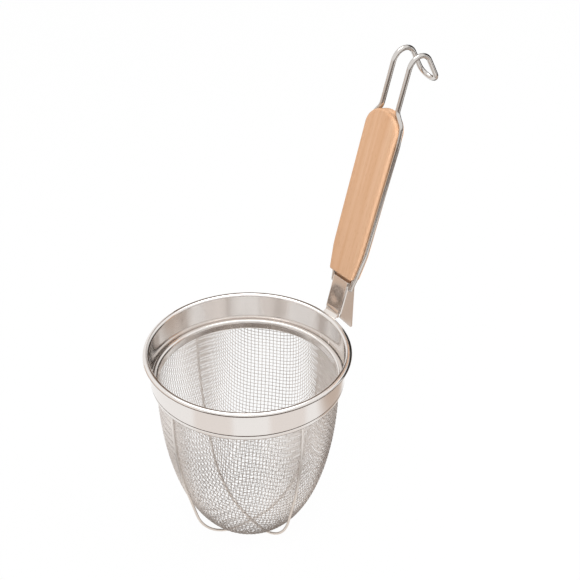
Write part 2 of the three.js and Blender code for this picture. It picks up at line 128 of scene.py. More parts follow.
def add_node(
    tree: bpy.types.NodeTree, kind: str, settings: dict | None = None, inputs: dict | None = None
) -> bpy.types.Node:
    """Add one node with its settings and links.

    Args:
        tree: Tree that takes the node.
        kind: Blender's name of the node's type.
        settings: Properties of the node itself.
        inputs: A value, or the output socket to link, for inputs by name or number.

    Returns:
        The new node.
    """
    node = tree.nodes.new(kind)
    for name, value in (settings or {}).items():
        setattr(node, name, value)
    for key, value in (inputs or {}).items():
        if isinstance(value, bpy.types.NodeSocket):
            tree.links.new(value, node.inputs[key])
        else:
            node.inputs[key].default_value = value
    return node


def new_material(name: str) -> tuple[bpy.types.Material, bpy.types.NodeTree, bpy.types.Node]:
    """Start a material with one surface shader.

    Args:
        name: The real material's name.

    Returns:
        The material, its node tree and its Principled BSDF.
    """
    material = bpy.data.materials.new(name)
    material.use_nodes = True
    return material, material.node_tree, material.node_tree.nodes["Principled BSDF"]


def arc(
    centre: tuple[float, float], radii: tuple[float, float], start: float, end: float, steps: int
) -> list[tuple[float, float]]:
    """Work out points on an ellipse's arc.

    Args:
        centre: Middle of the ellipse.
        radii: Its half axes.
        start: First angle in degrees.
        end: Last angle in degrees.
        steps: Straight runs between them.

    Returns:
        The points, both ends among them.
    """
    angles = [math.radians(start + (end - start) * i / steps) for i in range(steps + 1)]
    return [(centre[0] + radii[0] * math.cos(a), centre[1] + radii[1] * math.sin(a)) for a in angles]


def rounded(corners: list[Corner], degrees: float = 6.0) -> list[Vector]:
    """Work out points along straight runs whose corners are rounded.

    Args:
        corners: The path's ends and corners.
        degrees: Turn between two points of an arc.

    Returns:
        Points along the path.
    """
    points = [corners[0].at]
    for before, corner, after in zip(corners, corners[1:], corners[2:]):
        back = (before.at - corner.at).normalized()
        ahead = (after.at - corner.at).normalized()
        half = back.angle(ahead) / 2
        sweep = math.pi - 2 * half
        centre = corner.at + (back + ahead).normalized() * (corner.radius / math.sin(half))
        first = corner.at + back * (corner.radius / math.tan(half)) - centre
        last = corner.at + ahead * (corner.radius / math.tan(half)) - centre
        steps = max(2, math.ceil(math.degrees(sweep) / degrees))
        for i in range(steps + 1):
            turn = sweep * i / steps
            arm = first * math.sin(sweep - turn) + last * math.sin(turn)
            points.append(centre + arm / math.sin(sweep))
    points.append(corners[-1].at)
    return points


def link(name: str, data: bpy.types.ID) -> bpy.types.Object:
    """Put a new object into the scene.

    Args:
        name: The object's name.
        data: Its mesh, camera or light.

    Returns:
        The object.
    """
    piece = bpy.data.objects.new(name, data)
    bpy.context.scene.collection.objects.link(piece)
    return piece


def link_bmesh(name: str, bm: bmesh.types.BMesh) -> bpy.types.Object:
    """Put a bmesh into the scene as it is.

    Args:
        name: The object's name.
        bm: Its surface, which is freed.

    Returns:
        The object.
    """
    mesh = bpy.data.meshes.new(name)
    bm.to_mesh(mesh)
    bm.free()
    return link(name, mesh)


def make_object(name: str, bm: bmesh.types.BMesh) -> bpy.types.Object:
    """Make an object of a bmesh, with its doubles merged and its faces turned outwards.

    Args:
        name: The object's name.
        bm: Closed shells in millimetres, which are freed.

    Returns:
        The object, in the scene and still in millimetres.
    """
    bmesh.ops.remove_doubles(bm, verts=bm.verts, dist=NEAR)
    bmesh.ops.recalc_face_normals(bm, faces=bm.faces)
    return link_bmesh(name, bm)


def make_wires(
    name: str, runs: list[list[Vector]], diameter: float, sides: int, round_ends: bool = False
) -> bpy.types.Object:
    """Make round wires along paths.

    Args:
        name: The object's name.
        runs: Points of each wire's middle line in millimetres.
        diameter: The wire's diameter.
        sides: Faces round the wire, an even number.
        round_ends: Whether the ends are domed instead of cut square.

    Returns:
        The mesh object, in the scene and still in millimetres.
    """
    curve = bpy.data.curves.new(name, "CURVE")
    curve.dimensions = "3D"
    curve.bevel_depth = diameter / 2
    curve.bevel_resolution = sides // 2 - 2
    curve.use_fill_caps = True
    for points in runs:
        stations = [(point, 1.0) for point in points]
        if round_ends:
            start, end = domed(points, diameter / 2), domed(points[::-1], diameter / 2)
            stations = start + stations[1:-1] + end[::-1]
        spline = curve.splines.new("POLY")
        spline.points.add(len(stations) - 1)
        for target, (point, swell) in zip(spline.points, stations):
            target.co = (*point, 1.0)
            target.radius = swell
    holder = bpy.data.objects.new(name, curve)
    mesh = bpy.data.meshes.new_from_object(holder)
    mesh.name = name
    bpy.data.objects.remove(holder)
    bpy.data.curves.remove(curve)
    return link(name, mesh)


def domed(
    points: list[Vector], radius: float, steps: int = 5, start: float = 0.4
) -> list[tuple[Vector, float]]:
    """Work out the points of a domed wire end.

    Args:
        points: The wire's middle line, from the end that is domed.
        radius: The wire's radius.
        steps: Rings in the dome.
        start: Part of a step by which its small flat tip is cut back.

    Returns:
        Points with the share of the full radius at each.
    """
    along = (points[1] - points[0]).normalized()
    angles = [math.pi / 2 * (i + start) / (steps + start) for i in range(steps + 1)]
    return [(points[0] + along * (radius * (1 - math.cos(a))), math.sin(a)) for a in angles]


def combine(piece: bpy.types.Object, tool: bpy.types.Object, work: Work) -> None:
    """Join a tool solid to a piece, or cut the piece with it, and remove the tool.

    Args:
        piece: Object that changes.
        tool: Object that is used up.
        work: What the tool does.
    """
    modifier = piece.modifiers.new("combine", "BOOLEAN")
    modifier.operation = work.value
    modifier.object = tool
    modifier.solver = "EXACT"
    settle(piece)
    bpy.data.objects.remove(tool)


def settle(piece: bpy.types.Object) -> None:
    """Make what a piece's modifiers show its own mesh.

    Args:
        piece: Object whose modifiers are used up.
    """
    graph = bpy.context.evaluated_depsgraph_get()
    mesh = bpy.data.meshes.new_from_object(piece.evaluated_get(graph))
    mesh.name = piece.name
    piece.modifiers.clear()
    piece.data = mesh


def make_sheet(
    name: str, bm: bmesh.types.BMesh, outward: tuple[float, float, float], thickness: float, edge: float
) -> bpy.types.Object:
    """Make sheet metal of an open surface, with its thickness behind the surface and its edges eased.

    Args:
        name: The object's name.
        bm: The sheet's outer surface in millimetres, which is freed.
        outward: A direction that the outer surface faces.
        thickness: The sheet's thickness.
        edge: Width of the eased edges.

    Returns:
        The object, in the scene and still in millimetres.
    """
    facing = sum((face.normal * face.calc_area() for face in bm.faces), Vector())
    if facing.dot(Vector(outward)) < 0:
        bmesh.ops.reverse_faces(bm, faces=bm.faces)
    piece = link_bmesh(name, bm)
    wall = piece.modifiers.new("wall", "SOLIDIFY")
    wall.thickness = thickness
    wall.offset = -1.0
    wall.use_even_offset = True
    ease = piece.modifiers.new("eased edges", "BEVEL")
    ease.width = edge
    ease.segments = EASED_SEGMENTS
    ease.limit_method = "ANGLE"
    ease.angle_limit = math.radians(EASED_ANGLE)
    settle(piece)
    return piece


def extrude_edges(
    bm: bmesh.types.BMesh, edges: list[bmesh.types.BMEdge], shift: tuple[float, float, float]
) -> list[bmesh.types.BMEdge]:
    """Extrude edges into faces.

    Args:
        bm: Mesh that holds them.
        edges: Edges to extrude.
        shift: How far the new edges move.

    Returns:
        All new edges.
    """
    made = bmesh.ops.extrude_edge_only(bm, edges=edges)["geom"]
    moved = [item for item in made if isinstance(item, bmesh.types.BMVert)]
    bmesh.ops.translate(bm, verts=moved, vec=shift)
    return [item for item in made if isinstance(item, bmesh.types.BMEdge)]


def fit(
    piece: bpy.types.Object, material: bpy.types.Material, slot: Slot, *nodes: str, sharp: float = 40.0
) -> None:
    """Scale a piece to metres, dress it and set it in the frame.

    Args:
        piece: Object in millimetres.
        material: Its finish.
        slot: The record's slot for that finish; not used.
        nodes: CAD nodes that it stands for.
        sharp: Least angle in degrees of an edge that stays sharp.
    """
    piece.data.transform(Matrix.Scale(MM, 4))
    piece.data.shade_smooth()
    piece.data.set_sharp_from_angle(angle=math.radians(sharp))
    piece.data.materials.clear()
    piece.data.materials.append(material)
    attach(piece, BODY)
    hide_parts(*nodes)
    log.info("%s: %d faces", piece.name, len(piece.data.polygons))


def node_box(node: str) -> tuple[Vector, Vector]:
    """Give a CAD node's lowest and highest corners in millimetres."""
    low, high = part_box(node)
    return low / MM, high / MM


@dataclass(frozen=True)
class PolishedSheet:
    """Polished stainless sheet: a clear mirror, softened by rolling waves and faint polishing lines."""

    name: str = "polished stainless sheet"
    colour: str = "#E9E4E0"
    roughness: float = 0.11
    smoothest: float = 0.7
    roughest: float = 1.4
    wave: float = 22.0
    wave_height: float = 0.05
    wave_detail: float = 1.0
    # Real polishing lines are finer; these are as coarse as they need to be to show.
    line: float = 0.5
    line_length: float = 30.0
    line_height: float = 0.002
    line_detail: float = 3.0

    def material(self) -> bpy.types.Material:
        """Build the material: a metal whose waves and lines show only in what it reflects.

        Returns:
            The material.
        """
        material, tree, surface = new_material(self.name)
        place = add_node(tree, "ShaderNodeTexCoord").outputs["Object"]
        wave = add_node(
            tree, "ShaderNodeTexNoise",
            inputs={"Vector": place, "Scale": 1 / (self.wave * MM), "Detail": self.wave_detail},
        )
        size = [self.line_length * MM, self.line_length * MM, self.line * MM]
        stretched = add_node(
            tree, "ShaderNodeMapping", {"vector_type": "TEXTURE"}, {"Vector": place, "Scale": size}
        )
        line = add_node(
            tree, "ShaderNodeTexNoise",
            inputs={"Vector": stretched.outputs["Vector"], "Scale": 1.0, "Detail": self.line_detail},
        )
        low = add_node(
            tree, "ShaderNodeBump",
            inputs={"Height": wave.outputs["Fac"], "Distance": self.wave_height * MM, "Strength": 1.0},
        )
        fine = add_node(
            tree, "ShaderNodeBump",
            inputs={
                "Height": line.outputs["Fac"],
                "Distance": self.line_height * MM,
                "Strength": 1.0,
                "Normal": low.outputs["Normal"],
            },
        )
        worn = add_node(
            tree, "ShaderNodeMapRange",
            inputs={
                "Value": line.outputs["Fac"],
                "To Min": self.roughness * self.smoothest,
                "To Max": self.roughness * self.roughest,
            },
        )
        tree.links.new(worn.outputs["Result"], surface.inputs["Roughness"])
        tree.links.new(fine.outputs["Normal"], surface.inputs["Normal"])
        surface.inputs["Base Color"].default_value = linear(self.colour)
        surface.inputs["Metallic"].default_value = 1.0
        return material


@dataclass(frozen=True)
class PaintedShadeLine:
    """Painted shade: rough, mottled brown stainless, laid as thin dark lines where shade falls on the band.
    """

    name: str = "stainless with painted shade"
    colour: str = "#3A2B20"
    light_colour: str = "#66503E"
    roughness: float = 0.5
    mottle: float = 6.0
    mottle_detail: float = 3.0

    def material(self) -> bpy.types.Material:
        """Build the material: a rough metal in two mottled browns.

        Returns:
            The material.
        """
        material, tree, surface = new_material(self.name)
        place = add_node(tree, "ShaderNodeTexCoord").outputs["Object"]
        mottle = add_node(
            tree, "ShaderNodeTexNoise",
            inputs={"Vector": place, "Scale": 1 / (self.mottle * MM), "Detail": self.mottle_detail},
        )
        tone = add_node(
            tree, "ShaderNodeMix", {"data_type": "RGBA"},
            {
                "Factor": mottle.outputs["Fac"],
                MIX_FROM: linear(self.colour),
                MIX_TO: linear(self.light_colour),
            },
        )
        tree.links.new(tone.outputs[MIX_RESULT], surface.inputs["Base Color"])
        surface.inputs["Roughness"].default_value = self.roughness
        surface.inputs["Metallic"].default_value = 1.0
        return material


@dataclass(frozen=True)
class BrightWire:
    """Stainless wire drawn through a die: bright, with a soft sheen that varies a little along it."""

    name: str
    colour: str
    dull_colour: str
    roughness: float
    patch: float
    patch_detail: float = 2.0
    smoothest: float = 0.7
    roughest: float = 1.3
    # Painted shade: darker colours for the open zones and the bottom, and where they lie.
    open_shade_colour: str = ""
    open_turn: float = 0.0
    open_zones: float = 4.0
    open_edge: tuple[float, float] = (-0.4, 0.8)
    bottom_shade_colour: str = ""
    bottom_start: float = 55.0
    bottom_full: float = 55.0 / 3

    def zoned(self, tree: bpy.types.NodeTree, tone: bpy.types.NodeSocket) -> bpy.types.NodeSocket:
        """Paint shade at the bottom, and in the zones round the basket where the weave is open.

        Args:
            tree: The material's tree.
            tone: The wire's colour elsewhere.

        Returns:
            The colour in all zones.
        """
        place = add_node(tree, "ShaderNodeTexCoord").outputs["Object"]
        sides = add_node(tree, "ShaderNodeSeparateXYZ", inputs={"Vector": place}).outputs
        angle = add_node(tree, "ShaderNodeMath", {"operation": "ARCTAN2"}, {0: sides["Y"], 1: sides["X"]})
        turned = add_node(
            tree, "ShaderNodeMath", {"operation": "SUBTRACT"},
            {0: angle.outputs["Value"], 1: math.radians(self.open_turn)},
        )
        repeated = add_node(
            tree, "ShaderNodeMath", {"operation": "MULTIPLY"},
            {0: turned.outputs["Value"], 1: self.open_zones},
        )
        zone = add_node(tree, "ShaderNodeMath", {"operation": "COSINE"}, {0: repeated.outputs["Value"]})
        share = add_node(
            tree, "ShaderNodeMapRange", {"interpolation_type": "SMOOTHSTEP"},
            {
                "Value": zone.outputs["Value"],
                "From Min": self.open_edge[0],
                "From Max": self.open_edge[1],
            },
        )
        bottom = add_node(
            tree, "ShaderNodeMapRange", {"interpolation_type": "SMOOTHSTEP"},
            {"Value": sides["Z"], "From Min": self.bottom_start * MM, "From Max": self.bottom_full * MM},
        )
        wall = add_node(
            tree, "ShaderNodeMix", {"data_type": "RGBA"},
            {"Factor": share.outputs["Result"], MIX_FROM: tone, MIX_TO: linear(self.open_shade_colour)},
        )
        whole = add_node(
            tree, "ShaderNodeMix", {"data_type": "RGBA"},
            {
                "Factor": bottom.outputs["Result"],
                MIX_FROM: wall.outputs[MIX_RESULT],
                MIX_TO: linear(self.bottom_shade_colour),
            },
        )
        return whole.outputs[MIX_RESULT]

    def material(self) -> bpy.types.Material:
        """Build the material: a metal with patches that are a little duller and rougher.

        Returns:
            The material.
        """
        material, tree, surface = new_material(self.name)
        place = add_node(tree, "ShaderNodeTexCoord").outputs["Object"]
        patch = add_node(
            tree, "ShaderNodeTexNoise",
            inputs={"Vector": place, "Scale": 1 / (self.patch * MM), "Detail": self.patch_detail},
        )
        tone = add_node(
            tree, "ShaderNodeMix", {"data_type": "RGBA"},
            {
                "Factor": patch.outputs["Fac"],
                MIX_FROM: linear(self.colour),
                MIX_TO: linear(self.dull_colour),
            },
        )
        rough = add_node(
            tree, "ShaderNodeMapRange",
            inputs={
                "Value": patch.outputs["Fac"],
                "To Min": self.roughness * self.smoothest,
                "To Max": self.roughness * self.roughest,
            },
        )
        colour = tone.outputs[MIX_RESULT]
        # Painted shade in the open zones and at the bottom.
        if self.open_shade_colour:
            colour = self.zoned(tree, colour)
        tree.links.new(colour, surface.inputs["Base Color"])
        tree.links.new(rough.outputs["Result"], surface.inputs["Roughness"])
        surface.inputs["Metallic"].default_value = 1.0
        return material


@dataclass(frozen=True)
class SandedBeech:
    """Sanded bare beech: pale and even, with faint bands along the grain and short dark pore flecks."""

    name: str = "sanded bare beech"
    pale: str = "#E0B693"
    warm: str = "#D7A67F"
    fleck: str = "#BD8459"
    roughness: float = 0.55
    ior: float = 1.5
    specular: float = 0.35
    band: float = 3.0
    band_length: float = 130.0
    band_detail: float = 2.0
    band_edge: tuple[float, float] = (0.3, 0.7)
    # Real pores are finer; these are as wide as they need to be to show.
    fleck_width: float = 0.45
    fleck_length: float = 5.0
    fleck_depth: float = 0.03
    fleck_detail: float = 1.0
    fleck_edge: tuple[float, float] = (0.6, 0.78)
    fleck_share: float = 0.5

    def material(self, foot: Vector, lean: float) -> bpy.types.Material:
        """Build the material with its grain along the handle.

        Args:
            foot: A point on the handle's middle line in millimetres.
            lean: The handle's lean in radians.

        Returns:
            The material.
        """
        material, tree, surface = new_material(self.name)
        place = add_node(tree, "ShaderNodeTexCoord").outputs["Object"]

        def grain(width: float, length: float, detail: float) -> bpy.types.NodeSocket:
            """Stretch noise along the handle.

            Args:
                width: Size of its features across the grain.
                length: Their size along the grain.
                detail: The noise's detail.

            Returns:
                The noise, from 0 to 1.
            """
            mapped = add_node(
                tree, "ShaderNodeMapping", {"vector_type": "TEXTURE"},
                {
                    "Vector": place,
                    "Location": foot * MM,
                    "Rotation": (0.0, lean, 0.0),
                    "Scale": (width * MM, width * MM, length * MM),
                },
            )
            noise = add_node(
                tree, "ShaderNodeTexNoise",
                inputs={"Vector": mapped.outputs["Vector"], "Scale": 1.0, "Detail": detail},
            )
            return noise.outputs["Fac"]

        bands = add_node(
            tree, "ShaderNodeMapRange",
            inputs={
                "Value": grain(self.band, self.band_length, self.band_detail),
                "From Min": self.band_edge[0],
                "From Max": self.band_edge[1],
            },
        )
        flecks = add_node(
            tree, "ShaderNodeMapRange",
            inputs={
                "Value": grain(self.fleck_width, self.fleck_length, self.fleck_detail),
                "From Min": self.fleck_edge[0],
                "From Max": self.fleck_edge[1],
                "To Max": self.fleck_share,
            },
        )
        base = add_node(
            tree, "ShaderNodeMix", {"data_type": "RGBA"},
            {"Factor": bands.outputs["Result"], MIX_FROM: linear(self.pale), MIX_TO: linear(self.warm)},
        )
        flecked = add_node(
            tree, "ShaderNodeMix", {"data_type": "RGBA"},
            {
                "Factor": flecks.outputs["Result"],
                MIX_FROM: base.outputs[MIX_RESULT],
                MIX_TO: linear(self.fleck),
            },
        )
        pores = add_node(
            tree, "ShaderNodeBump", {"invert": True},
            {"Height": flecks.outputs["Result"], "Distance": self.fleck_depth * MM, "Strength": 1.0},
        )
        tree.links.new(flecked.outputs[MIX_RESULT], surface.inputs["Base Color"])
        tree.links.new(pores.outputs["Normal"], surface.inputs["Normal"])
        surface.inputs["Roughness"].default_value = self.roughness
        surface.inputs["IOR"].default_value = self.ior
        surface.inputs["Specular IOR Level"].default_value = self.specular
        return material


@dataclass
class Rim:
    """Steel band with a rolled lip and two spot welds, and the channel in it that binds the cloth's edge."""

    lip_diameter: float = 140.0
    lip_width: float = 4.4
    lip_height: float = 2.7
    curl_end: float = -110.0
    sheet: float = 0.8
    taper: float = 0.9
    ring_sheet: float = 0.45
    ring_width: float = 4.2
    ring_crown: float = 1.6
    bead_height: float = 3.5
    bead_proud: float = 0.45
    bead_start: float = -75.0
    support: float = 0.45
    # Upward share of the normals of faces under the roll that take painted shade.
    roll_shade: tuple[float, float] = (-0.95, 0.1)
    least_outward: float = 0.3
    weld_radius: float = 1.3
    weld_height: float = 0.25
    weld_rise: float = 2.4
    weld_angles: tuple[float, float] = (1.5, -6.5)
    weld_sides: int = 24
    weld_rings: int = 12
    lip_steps: int = 40
    curl_steps: int = 28
    foot_steps: int = 8
    crown_steps: int = 24
    edge_steps: int = 6
    bead_steps: int = 14
    around: int = 192

    def spun(self, name: str, section: list[tuple[float, float]]) -> bpy.types.Object:
        """Spin a closed section of radius and height points round the basket's axis.

        Args:
            name: The object's name.
            section: The section's points in order.

        Returns:
            The object in millimetres.
        """
        bm = bmesh.new()
        verts = [bm.verts.new((r, 0.0, z)) for r, z in section]
        edges = [bm.edges.new(pair) for pair in zip(verts, verts[1:] + verts[:1])]
        bmesh.ops.spin(
            bm, geom=verts + edges, cent=(0, 0, 0), axis=(0, 0, 1), angle=math.tau,
            steps=self.around, use_merge=True,
        )
        return make_object(name, bm)

    def straight(self, start: tuple[float, float], end: tuple[float, float]) -> list[tuple[float, float]]:
        """Work out support points near both ends of a straight wall, which keep its shading flat.

        Args:
            start: Radius and height at one end.
            end: Radius and height at the other.

        Returns:
            The two points.
        """
        first, last = Vector(start), Vector(end)
        inset = (last - first).normalized() * self.support
        return [tuple(first + inset), tuple(last - inset)]

    def band(self) -> bpy.types.Object:
        """Build the band: a tapered wall with a rounded foot, and the open curl of its lip.

        Returns:
            The object in millimetres.
        """
        low, high = node_box("rim_band")
        width, height = self.lip_width / 2, self.lip_height / 2
        centre = (self.lip_diameter / 2 - width, high.z - height)
        over = arc(centre, (width, height), 180, self.curl_end, self.lip_steps)
        hollow = (width - self.sheet, height - self.sheet)
        under = arc(centre, hollow, self.curl_end, 180, self.curl_steps)
        foot_radius = self.sheet / 2
        foot_middle = self.lip_diameter / 2 - self.lip_width - self.taper + foot_radius
        foot_centre = (foot_middle, low.z + foot_radius)
        foot = arc(foot_centre, (foot_radius, foot_radius), 0, -180, self.foot_steps)
        outer_wall = self.straight(under[-1], foot[0])
        inner_wall = self.straight(foot[-1], over[0])
        return self.spun("rim_band_rolled", over + under + outer_wall + foot + inner_wall)

    def ring(self) -> bpy.types.Object:
        """Build the binding channel: two walls and a rounded crown, open below, with a bead under the band.

        Returns:
            The object in millimetres.
        """
        low, high = node_box("mesh_binding_ring")
        half = self.ring_width / 2
        middle = high.x - half
        crown = (middle, high.z - self.ring_crown)
        over = arc(crown, (half, self.ring_crown), 0, 180, self.crown_steps)
        hollow = (half - self.ring_sheet, self.ring_crown - self.ring_sheet)
        under = arc(crown, hollow, 180, 0, self.crown_steps)
        edge = self.ring_sheet / 2
        lip = low.z + edge
        inner_foot = arc((middle - half + edge, lip), (edge, edge), 180, 360, self.edge_steps)
        outer_foot = arc((middle + half - edge, lip), (edge, edge), 180, 360, self.edge_steps)
        swell = (self.bead_proud, self.bead_height / 2)
        bead = arc((high.x, lip + self.bead_height / 2), swell, self.bead_start, 90, self.bead_steps)
        inner_wall = self.straight(over[-1], inner_foot[0])
        outer_wall = self.straight(bead[-1], over[0])
        inner = over + inner_wall + inner_foot
        return self.spun("mesh_binding_channel", inner + under + outer_foot + bead + outer_wall)

    def welds(self) -> bpy.types.Object:
        """Build the two spot welds that hold the bracket's flange, as low domes inside the band's foot.

        Returns:
            The object in millimetres.
        """
        low, high = node_box("rim_band")
        share = self.weld_rise / (high.z - low.z)
        radius = self.lip_diameter / 2 - self.lip_width - self.taper * (1 - share)
        place = Matrix.Translation((radius, 0, low.z + self.weld_rise))
        flat = Matrix.Diagonal((self.weld_height, self.weld_radius, self.weld_radius, 1))
        bm = bmesh.new()
        for angle in self.weld_angles:
            turn = Matrix.Rotation(math.radians(angle), 4, "Z")
            bmesh.ops.create_uvsphere(
                bm, u_segments=self.weld_sides, v_segments=self.weld_rings, radius=1.0,
                matrix=turn @ place @ flat,
            )
        return make_object("rim_spot_welds", bm)

    def build(self, steel: bpy.types.Material, edge: bpy.types.Material) -> None:
        """Make the pieces and dress them, with painted shade under the roll and along the band's foot.

        Args:
            steel: The sheet's finish.
            edge: The finish of the painted shade.
        """
        fit(self.welds(), steel, Slot.POLISHED_STEEL, "rim_band")
        band, ring = self.band(), self.ring()
        fit(band, steel, Slot.POLISHED_STEEL, "rim_band")
        fit(ring, steel, Slot.POLISHED_STEEL, "mesh_binding_ring")
        # Painted shade: outward faces under the roll and along the foot take the dark brown finish.
        shade_index = len(band.data.materials)
        band.data.materials.append(edge)
        foot_line = node_box("rim_band")[0].z + self.sheet / 2 + self.support
        roll_radius = self.lip_diameter / 2 - self.lip_width + 2 * self.sheet
        for face in band.data.polygons:
            middle = face.center / MM
            outward = face.normal.dot(Vector((middle.x, middle.y, 0)).normalized())
            turned_down = self.roll_shade[0] < face.normal.z < self.roll_shade[1]
            under_roll = turned_down and middle.xy.length > roll_radius
            if outward > self.least_outward and (middle.z < foot_line or under_roll):
                face.material_index = shade_index


@dataclass
class Bowl:
    """The basket's form: nearly upright under the ring, then drawn in to a round bottom."""

    rim_radius: float
    rim_height: float
    depth: float
    power: float = 2.6
    depth_power: float = 1.9

    def radius_at(self, height: float) -> float:
        """Give the bowl's radius at a height."""
        share = max(0.0, self.rim_height - height) / self.depth
        return self.rim_radius * (1 - share**self.depth_power) ** (1 / self.power)

    def profile(self, wall: float, steps: int = 600) -> tuple[np.ndarray, np.ndarray, np.ndarray]:
        """Trace the bowl's section from the middle of its bottom to above its rim.

        Args:
            wall: Length of the straight wall above the rim.
            steps: Points on the curved stretch.

        Returns:
            Arc length, radius and height at each point.
        """
        share = np.sin(np.linspace(0, np.pi / 2, steps))
        heights = self.rim_height - self.depth * (1 - share**self.power) ** (1 / self.depth_power)
        radius = np.append(share * self.rim_radius, self.rim_radius)
        height = np.append(heights, self.rim_height + wall)
        arc_length = np.append(0, np.cumsum(np.hypot(np.diff(radius), np.diff(height))))
        return arc_length, radius, height


@dataclass
class WireCloth:
    """Plain-woven wire cloth drawn into the bowl: square in four zones, sheared in the four between."""

    pitch: float = 2.67
    wire: float = 0.4
    crimp: float = 0.21
    thickness: float = 0.9
    turn: float = 38.0
    straight_power: int = 3
    shear_power: int = 4
    sides: int = 6
    spare_wall: float = 240.0
    share_steps: int = 240
    halvings: int = 48

    def crossings(
        self, arcs: np.ndarray, radii: np.ndarray, reach: float
    ) -> list[tuple[np.ndarray, np.ndarray]]:
        """Find where the wires cross in one eighth of the bowl.

        A share runs from 0, where a wire comes straight down the wall, to 1, on the diagonal where both
        sets of wires slant alike. Along each wire the cloth's own lengths are kept near the straight line
        and give way towards the diagonal, as drawn cloth does.

        Args:
            arcs: Arc lengths along the bowl's section.
            radii: Radii at those arc lengths.
            reach: Arc length at the cloth's cut edge.

        Returns:
            For each wire from the middle, arc lengths and angles of its crossings up to the diagonal.
        """
        straight, shear = self.straight_power, self.shear_power
        share = np.linspace(0, 1, self.share_steps + 1)
        rows = []
        for count in range(int(reach / self.pitch) + 2):
            low = np.zeros_like(share)
            high = np.full_like(share, arcs[-1])
            for _ in range(self.halvings):
                arc_length = (low + high) / 2
                span = np.interp(arc_length, arcs, radii) * np.pi / 4
                diagonal = (straight * arc_length + (shear - 1) * span) / (straight + shear)
                short = arc_length - (arc_length - diagonal) * share**straight < count * self.pitch
                low = np.where(short, arc_length, low)
                high = np.where(short, high, arc_length)
            across = span * share + (diagonal - span) * share**shear
            steps = np.arange(count + 1) * self.pitch
            angles = np.interp(steps, across, share) * np.pi / 4
            rows.append((np.interp(steps, across, arc_length), angles))
        return rows

    def runs(self, bowl: Bowl, top: float, way: Way) -> list[list[Vector]]:
        """Lay one set of wires over and under the other.

        Args:
            bowl: Form of the cloth's middle surface.
            top: Height of the cloth's cut edge.
            way: Which set of wires.

        Returns:
            The points of each wire.
        """
        arcs, radii, heights = bowl.profile(self.spare_wall)
        reach = float(np.interp(top, heights, arcs))
        rows = self.crossings(arcs, radii, reach)
        rise = np.gradient(heights, arcs)
        spread = np.gradient(radii, arcs)
        turn = math.radians(self.turn)
        last = len(rows) - 1

        def crossing(i: int, j: int) -> Vector | None:
            """Work out the point of a wire at one crossing.

            Args:
                i: Count of the warp wire from the middle.
                j: Count of the weft wire from the middle.

            Returns:
                The point, or None past the cut edge.
            """
            far, near = max(abs(i), abs(j)), min(abs(i), abs(j))
            arc_length, angle = rows[far][0][near], rows[far][1][near]
            if arc_length > reach:
                return None
            if abs(j) > abs(i):
                angle = math.pi / 2 - angle
            angle = math.atan2(math.copysign(math.sin(angle), j), math.copysign(math.cos(angle), i)) + turn
            lift = way.value * self.crimp * (1 if (i + j) % 2 == 0 else -1)
            radius = np.interp(arc_length, arcs, radii) + lift * np.interp(arc_length, arcs, rise)
            height = np.interp(arc_length, arcs, heights) - lift * np.interp(arc_length, arcs, spread)
            return Vector((radius * math.cos(angle), radius * math.sin(angle), height))

        wires = []
        for i in range(-last, last + 1):
            line = [crossing(*((i, j) if way is Way.WARP else (j, i))) for j in range(-last, last + 1)]
            line = [point for point in line if point is not None]
            if len(line) > 1:
                wires.append(line)
        return wires

    def build(self, wire: bpy.types.Material) -> None:
        """Make both sets of wires and dress them.

        Args:
            wire: The wires' finish.
        """
        low, high = node_box("mesh_basket")
        foot = node_box("mesh_binding_ring")[0].z
        half = self.thickness / 2
        bowl = Bowl(high.x - half, foot, foot - low.z - half)
        for way in Way:
            name = f"mesh_{way.name.lower()}_wires"
            piece = make_wires(name, self.runs(bowl, high.z, way), self.wire, self.sides)
            fit(piece, wire, Slot.STEEL_MESH, "mesh_basket", sharp=80.0)


@dataclass
class Ribs:
    """Two bowed wires that come down outside the cloth, leave it on a straight leg and cross below it."""

    diameter: float = 1.8
    seat: float = 0.2
    leave_height: float = 50.0
    foot_radius: float = 42.0
    cross_turn: float = 87.0
    wall_steps: int = 30
    slope_steps: int = 5
    sides: int = 12

    def path(self, bowl: Bowl, top: float, foot: float) -> list[Vector]:
        """Work out one rib's middle line in the XZ plane.

        Args:
            bowl: The cloth's outside.
            top: Height of the rib's ends.
            foot: Height of its flat run.

        Returns:
            Points from one end to the other.
        """
        offset = self.seat + self.diameter / 2
        drop = bowl.rim_height - self.leave_height
        heights = [bowl.rim_height - drop * i / self.wall_steps for i in range(self.wall_steps + 1)]
        wall = [Vector((bowl.radius_at(z) + offset, 0, z)) for z in heights]
        slope = (wall[-1] - wall[-1 - self.slope_steps]).normalized()
        corner = wall[-1] + slope * ((foot - wall[-1].z) / slope.z)
        across = Vector((-corner.x, 0, foot))
        leg = rounded([Corner(wall[-1]), Corner(corner, self.foot_radius), Corner(across)])[:-1]
        half = [Vector((bowl.rim_radius + offset, 0, top)), *wall[:-1], *leg]
        return half + [Vector((-point.x, 0, point.z)) for point in reversed(half)]

    def build(self, wire: bpy.types.Material) -> None:
        """Make both ribs and dress them.

        Args:
            wire: The ribs' finish.
        """
        low, high = node_box("mesh_basket")
        rim = node_box("mesh_binding_ring")[0].z
        bowl = Bowl(high.x, rim, rim - low.z)
        for node, turn in (("rib_wire_handle_plane", 0.0), ("rib_wire_cross", self.cross_turn)):
            bottom, top = node_box(node)
            path = self.path(bowl, top.z, bottom.z + self.diameter / 2)
            spin = Matrix.Rotation(math.radians(turn), 3, "Z")
            run = [spin @ point for point in path]
            piece = make_wires(f"{node}_round", [run], self.diameter, self.sides)
            fit(piece, wire, Slot.STEEL_WIRE, node, sharp=60.0)


